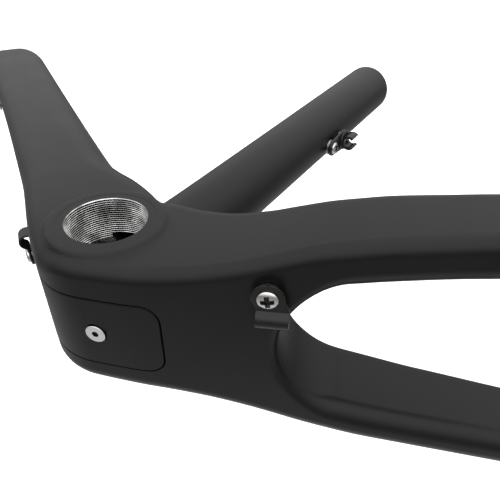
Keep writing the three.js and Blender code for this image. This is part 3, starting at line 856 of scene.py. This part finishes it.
# ---- fasteners and guides -------------------------------------------------------------
HEAD_SIDES = 72
INSERT_LENGTH = 9.0
GUIDE_FLANGE = 1.5
BOTTLE_FLANGE = 0.7
BUSH_DEPTH = 2.8
GUIDE_SHEET = 1.1
GUIDE_LIFT = 2.1
GUIDE_REACH = 9.6
HOSE_R = 2.8
HOSE_HEIGHT = 2.2
HOOK_LIP = 0.4
SHANK_R = 2.4
DOME_R = 3.95
DOME_HEIGHT = 1.8
# Plan of a sheet guide: tab radius, length of the half-tube and how far it is set rearwards.
STAY_CLIP = (6.2, 12.2, 1.75)
DOWN_CLIP = (5.2, 8.0, -1.0)


def site(insert, axis, side):
    """The place of a fastener: origin on the carbon, Z out of it, Y towards side * left."""
    out = Vector(axis).normalized()
    points = [Vector(v.co) / MM for v in frame["nodes"][insert].data.vertices]
    low = min(p.dot(out) for p in points)
    high = max(p.dot(out) for p in points)
    middle = sum(points, Vector()) / len(points)
    box_low, box_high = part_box(insert)
    centre = (box_low + box_high) / 2 / MM
    top = high - low - INSERT_LENGTH
    if top < 0:
        top = -BUSH_DEPTH
    origin = middle + out * (high - top - middle.dot(out))
    origin.z = centre.z
    sideways = LEFT * side
    along = sideways.cross(out)
    place = Matrix((along, sideways, out)).transposed().to_4x4()
    place.translation = origin * MM
    return place


def arc(centre, radius, start, end, steps):
    angles = [math.radians(start + (end - start) * k / steps) for k in range(steps + 1)]
    return [(centre[0] + radius * math.cos(a), centre[1] + radius * math.sin(a)) for a in angles]


def dome_profile(seat, radius, height):
    rim = 0.55
    shank = [(0, seat - 10), (SHANK_R - 0.3, seat - 10), (SHANK_R, seat - 9.7), (SHANK_R, seat),
             (radius - 0.15, seat)]
    top = arc((0, 0), 1, 0, 90, 14)
    dome = [(radius * c, seat + rim + (height - rim) * s) for c, s in top[:-1]]
    return shank + [(radius, seat + 0.15)] + dome + [(0, seat + height)]


def cross_recess(top, depth, steels):
    """A cross-head recess: two tapered slots that meet in a deeper centre."""
    wings = []
    for turn in (0, 90):
        low = [(-1.9, -0.7), (1.9, -0.7), (1.9, 0.7), (-1.9, 0.7)]
        high = [(-2.8, -1.0), (2.8, -1.0), (2.8, 1.0), (-2.8, 1.0)]
        points = [(x, y, top - depth) for x, y in low] + [(x, y, top + 0.3) for x, y in high]
        faces = [(3, 2, 1, 0), (4, 5, 6, 7)]
        faces += [(k, (k + 1) % 4, 4 + (k + 1) % 4, 4 + k) for k in range(4)]
        wing = make_object("wing", points, faces, ())
        wing.data.transform(Matrix.Rotation(math.radians(turn), 4, "Z"))
        wings.append(recess_look(wing, steels))
    return wings


def recess_look(cutter, steels):
    """Gives a recess the screw's second material, a painted shade, which the cut carries over."""
    for steel in steels:
        cutter.data.materials.append(steel)
    cutter.data.polygons.foreach_set("material_index", [1] * len(cutter.data.polygons))
    return cutter


def hexagon(radius, top, depth, steels):
    angles = [math.radians(60 * k) for k in range(6)]
    points = [(radius * math.cos(a), radius * math.sin(a), z)
              for z in (top - depth, top + 1) for a in angles]
    faces = [(5, 4, 3, 2, 1, 0), (6, 7, 8, 9, 10, 11)]
    faces += [(k, (k + 1) % 6, 6 + (k + 1) % 6, 6 + k) for k in range(6)]
    return recess_look(make_object("hexagon", points, faces, ()), steels)


def finish_screw(screw, place):
    screw.data.transform(place)
    screw.data.set_sharp_from_angle(angle=math.radians(32))
    return screw


def make_dome_screw(name, place, seat, steels, spin=0.0):
    screw = turn_about_z(dome_profile(seat, DOME_R, DOME_HEIGHT), HEAD_SIDES, None, name, steels)
    for wing in cross_recess(seat + DOME_HEIGHT, 1.4, steels):
        cut(screw, wing)
    screw.data.transform(Matrix.Rotation(math.radians(spin), 4, "Z"))
    return finish_screw(screw, place)


def make_flat_screw(name, place, steels):
    top = 0.55
    profile = [(0, -8.6), (2.1, -8.6), (2.4, -8.3), (2.4, top - 2.3), (4.0, top - 0.5)]
    profile += [(4.15, top - 0.35), (4.2, top - 0.12), (4.05, top), (0, top)]
    screw = turn_about_z(profile, HEAD_SIDES, None, name, steels)
    cut(screw, hexagon(1.55, top, 1.5, steels))
    return finish_screw(screw, place)


def make_pan_screw(name, place, seat, steels):
    """A small flat-topped screw with a hexagon socket."""
    top = seat + 1.8
    profile = [(0, seat - 10), (1.6, seat - 10), (1.9, seat - 9.7), (1.9, seat), (2.8, seat)]
    profile += [(2.9, seat + 0.1), (2.9, top - 0.6), (2.75, top - 0.2), (2.3, top), (0, top)]
    screw = turn_about_z(profile, HEAD_SIDES, None, name, steels)
    cut(screw, hexagon(1.4, top, 1.1, steels))
    return finish_screw(screw, place)


def make_insert(name, place, flange, alloy, bore=2.65):
    """A rivet nut, whose flange stands on the carbon."""
    top = 0.3 + flange
    profile = [(bore, -9), (3.5, -9), (3.5, 0.3), (4.9, 0.3), (5, 0.4), (5, top - 0.15), (4.85, top)]
    profile += [(bore + 0.15, top), (bore, top - 0.15), (bore, -9)]
    return finish_screw(turn_about_z(profile, HEAD_SIDES, None, name, [alloy]), place)


def make_bush(name, place, alloy):
    top = -BUSH_DEPTH
    profile = [(2.65, -9.2), (3.5, -9.2), (3.5, top - 0.1), (3.4, top), (2.75, top)]
    profile += [(2.65, top - 0.1), (2.65, -9.2)]
    return finish_screw(turn_about_z(profile, HEAD_SIDES, None, name, [alloy]), place)


def strip_path(tab):
    """Side view of the bent sheet, as (y, z) from the tab's tip round the hose to the lip."""
    flat = GUIDE_LIFT + GUIDE_SHEET / 2
    reach = HOSE_R + GUIDE_SHEET / 2
    meet = math.asin((flat - HOSE_HEIGHT) / reach)
    start = -GUIDE_REACH + reach * math.cos(meet)
    path = [(tab * math.cos(math.pi * k / 40), flat) for k in range(21)]
    path += [(start * k / 8, flat) for k in range(1, 7)]
    rise = 0.75
    path += [(start * 0.86, flat + 0.05), (start * 0.95, flat + rise * 0.45)]
    path += [(-GUIDE_REACH + reach * math.cos(a), HOSE_HEIGHT + reach * math.sin(a))
             for a in np.linspace(meet + 0.42, math.pi, 22)]
    path += [(-GUIDE_REACH - reach, HOSE_HEIGHT + (HOOK_LIP - HOSE_HEIGHT) * k / 4) for k in range(1, 5)]
    return path


def strip_limits(y, clip):
    """How far the sheet reaches each way along the tube, at a distance from the screw."""
    tab, length, shift = clip
    rear = length / 2 + shift
    front = rear - length
    if y >= 0:
        half = math.sqrt(max(tab ** 2 - y * y, 0.04))
        return -half, half
    ease = float(smooth_step(-y / (GUIDE_REACH - HOSE_R - GUIDE_SHEET - 0.6)))
    return -tab + (front + tab) * ease, tab + (rear - tab) * ease


def sheet_ring(centre, normal, limits, columns=10):
    """One closed cross-section of the sheet, its two long edges rounded."""
    half, edge = GUIDE_SHEET / 2, 0.3
    low, high = limits
    bend = [(math.cos(a), math.sin(a)) for a in np.linspace(-math.pi / 2, math.pi / 2, 7)]
    spans = np.linspace(low + edge, high - edge, columns)
    ring = [(x, -half) for x in spans[:-1]]
    ring += [(high - edge + edge * c, half * s) for c, s in bend]
    ring += [(x, half) for x in spans[::-1][1:-1]]
    ring += [(low + edge - edge * c, -half * s) for c, s in bend]
    return [(x, centre[0] + lift * normal[0], centre[1] + lift * normal[1]) for x, lift in ring]


def make_sheet_guide(name, place, clip, black):
    path = strip_path(clip[0])
    rings = []
    for k, centre in enumerate(path):
        before, after = path[max(k - 1, 0)], path[min(k + 1, len(path) - 1)]
        run = Vector((after[0] - before[0], after[1] - before[1])).normalized()
        rings.append(sheet_ring(centre, (run.y, -run.x), strip_limits(centre[0], clip)))
    ring = len(rings[0])
    points = [point for row in rings for point in row]
    faces = grid_faces(len(rings), ring)
    for row, flip in ((0, True), (len(rings) - 1, False)):
        corners = [row * ring + k for k in range(ring)]
        faces.append(corners[::-1] if flip else corners)
    guide = make_object(name, points, faces, [black])
    cut(guide, turn_about_z([(0, -2), (2.75, -2), (2.75, 6), (0, 6)], 48))
    guide.data.transform(place)
    guide.data.set_sharp_from_angle(angle=math.radians(50))
    return guide


def prism(name, outline, low, high, materials, edge=0.3):
    """An extruded outline, from low to high along Z, with softened edges."""
    count = len(outline)
    points = [(x, y, z) for z in (low, high) for x, y in outline]
    faces = [tuple(range(count))[::-1], tuple(range(count, 2 * count))]
    faces += [(k, (k + 1) % count, count + (k + 1) % count, count + k) for k in range(count)]
    piece = make_object(name, points, faces, materials)
    bevel = piece.modifiers.new("edge", "BEVEL")
    bevel.width = edge * MM
    bevel.segments = 3
    bevel.limit_method = "ANGLE"
    bevel.angle_limit = math.radians(50)
    bake_modifiers(piece)
    return piece


SEAT_PITCH = 16.5
SEAT_FOOT = 1.8
SEAT_FOOT_R = 5.4
SEAT_PAD_R = 7.0
SEAT_PAD_TOP = 5.4
SEAT_CLIP_HEIGHT = 9.0
SEAT_CLIP_R = 3.3
SEAT_CLIP_WALL = 1.7
SEAT_CLIP_WIDTH = 10.0
SEAT_CLIP_OPENING = 45
SEAT_FLOOR = 4.0


def clip_outline():
    centre = (0, SEAT_CLIP_HEIGHT)
    start, end = 90 + SEAT_CLIP_OPENING, 450 - SEAT_CLIP_OPENING
    points = arc(centre, SEAT_CLIP_R + SEAT_CLIP_WALL, start, end, 40)
    return points + arc(centre, SEAT_CLIP_R, end, start, 40)


def make_seat_guide(name, place, black):
    """A foot with a screw, then a raised pad under a C clip, whose floor holds a second screw."""
    shift = Matrix.Translation((SEAT_PITCH * MM, 0, 0))
    outline = arc((0, 0), SEAT_FOOT_R, 90, 270, 24) + arc((SEAT_PITCH, 0), SEAT_PAD_R, -90, 90, 24)
    guide = prism(name, outline, GUIDE_LIFT, GUIDE_LIFT + SEAT_FOOT, [black])
    low = GUIDE_LIFT + 0.2
    pad = [(0, low), (6.6, low), (6.85, 4.4), (6.6, 5.0), (6.1, SEAT_PAD_TOP), (0, SEAT_PAD_TOP)]
    cut(guide, turn_about_z(pad, 64, shift), "UNION")
    across = Matrix(((0, 0, 1, 0), (1, 0, 0, 0), (0, 1, 0, 0), (0, 0, 0, 1)))
    start = SEAT_PITCH - SEAT_CLIP_WIDTH / 2
    clip = prism("clip", clip_outline(), start, start + SEAT_CLIP_WIDTH, [black])
    clip.data.transform(across)
    cut(guide, clip, "UNION")
    cut(guide, turn_about_z([(0, -2), (2.75, -2), (2.75, 6), (0, 6)], 48))
    cut(guide, turn_about_z([(0, -2), (2.1, -2), (2.1, 6), (0, 6)], 48, shift))
    cut(guide, turn_about_z([(0, SEAT_FLOOR), (3.15, SEAT_FLOOR), (3.15, 10), (0, 10)], 48, shift))
    guide.data.transform(place)
    guide.data.set_sharp_from_angle(angle=math.radians(40))
    return guide


# ---- the whole object -----------------------------------------------------------------
def use(piece, body, slot, *nodes):
    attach(piece, body)
    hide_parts(*nodes)


def joint_axis(child):
    return next(joint["axis"] for joint in frame["joints"] if joint["child"] == child)


def add_carbon(satin, bare, thread, smudged):
    junction = make_junction(satin, bare)
    looks = [satin, bare]
    down = tube_piece("down_tube_skin", DOWN_ANGLE, 0, DOWN_SPLIT, DOWN_END, down_section, looks)
    seat = tube_piece("seat_tube_skin", SEAT_ANGLE, SEAT_OFFSET, SEAT_SPLIT, SEAT_END,
                      seat_section, looks)
    left, right = (tube_piece(f"chainstay_{name}_skin", 0, 0, STAY_SPLIT, STAY_END,
                              stay_section(side), looks)
                   for name, side in (("left", 1), ("right", -1)))
    pieces = ((junction, "bb_junction"), (down, "down_tube"), (seat, "seat_tube"),
              (left, "chainstay_left"), (right, "chainstay_right"))
    for piece, node in pieces:
        shade_outside(piece)
        use(piece, "frame", "carbon", node)
    cover = make_cover(satin)
    shade_outside(cover, lambda points: proud(points[:, 0], points[:, 2]))
    use(cover, "cable_cover", "carbon", "cable_cover")
    use(make_sleeve(thread, satin, smudged), "frame", "sleeve_alloy", "bb_sleeve")


def add_hardware(polished, steels, alloy, black):
    cover_site = site("cover_insert", joint_axis("cover_screw"), 1)
    cover_screw = make_flat_screw("cover_screw_steel", cover_site, polished)
    use(cover_screw, "cover_screw", "screw_steel", "cover_screw")
    use(make_bush("cover_bush", cover_site, alloy), "frame", "insert_alloy", "cover_insert")
    guides = (("stay_guide", 1, 8, STAY_CLIP), ("down_guide_lower", -1, 20, DOWN_CLIP),
              ("down_guide_upper", -1, 50, DOWN_CLIP))
    for name, side, spin, clip in guides:
        place = site(name + "_insert", joint_axis(name + "_screw"), side)
        seat = GUIDE_LIFT + GUIDE_SHEET + 0.05
        use(make_sheet_guide(name + "_sheet", place, clip, black), "frame", "guide_sheet", name)
        screw = make_dome_screw(name + "_bolt", place, seat, steels, spin)
        use(screw, name + "_screw", "screw_steel", name + "_screw")
        nut = make_insert(name + "_nut", place, GUIDE_FLANGE, alloy)
        use(nut, "frame", "insert_alloy", name + "_insert")
    for level, spin, bore in (("lower", 30, 2.65), ("upper", 70, 2.15)):
        place = site("seat_guide_insert_" + level, joint_axis("seat_guide_screw_" + level), 1)
        bolt_name = "seat_guide_bolt_" + level
        if level == "lower":
            use(make_seat_guide("seat_guide_clip", place, black), "frame", "guide_moulded", "seat_guide")
            screw = make_dome_screw(bolt_name, place, GUIDE_LIFT + SEAT_FOOT + 0.05, steels, spin)
        else:
            screw = make_pan_screw(bolt_name, place, SEAT_FLOOR + 0.05, steels)
        use(screw, "seat_guide_screw_" + level, "screw_steel", "seat_guide_screw_" + level)
        nut = make_insert("seat_guide_nut_" + level, place, GUIDE_FLANGE, alloy, bore)
        use(nut, "frame", "insert_alloy", "seat_guide_insert_" + level)
        place = site("bottle_insert_" + level, joint_axis("bottle_bolt_" + level), 1)
        bolt = make_dome_screw("bottle_screw_" + level, place, BOTTLE_FLANGE + 0.35, steels, spin)
        use(bolt, "bottle_bolt_" + level, "screw_steel", "bottle_bolt_" + level)
        nut = make_insert("bottle_nut_" + level, place, BOTTLE_FLANGE, alloy)
        use(nut, "frame", "insert_alloy", "bottle_insert_" + level)


bpy.context.scene.view_settings.view_transform = "Standard"
add_camera()
add_world()
add_floor(cad_box[0][2])
satin = satin_carbon()
bare = laminate()
thread = thread_metal()
# painted shade for the screws' recesses: a dark steel put on the recess faces
shadow = metal("recess_painted_shade", (0.07, 0.065, 0.06), (0.02, 0.02, 0.02), 0.45)
polished = metal("polished_steel", (0.86, 0.85, 0.83), (0.74, 0.73, 0.71), 0.32, 3000)
steel = metal("bright_steel", (0.62, 0.61, 0.58), (0.52, 0.51, 0.48), 0.2, 3000)
alloy = metal("insert_alloy", (0.30, 0.30, 0.30), (0.2, 0.2, 0.2), 0.35)
add_carbon(satin, bare, thread, smudged_metal())
add_hardware([polished, shadow], [steel, shadow], alloy, black_moulded())
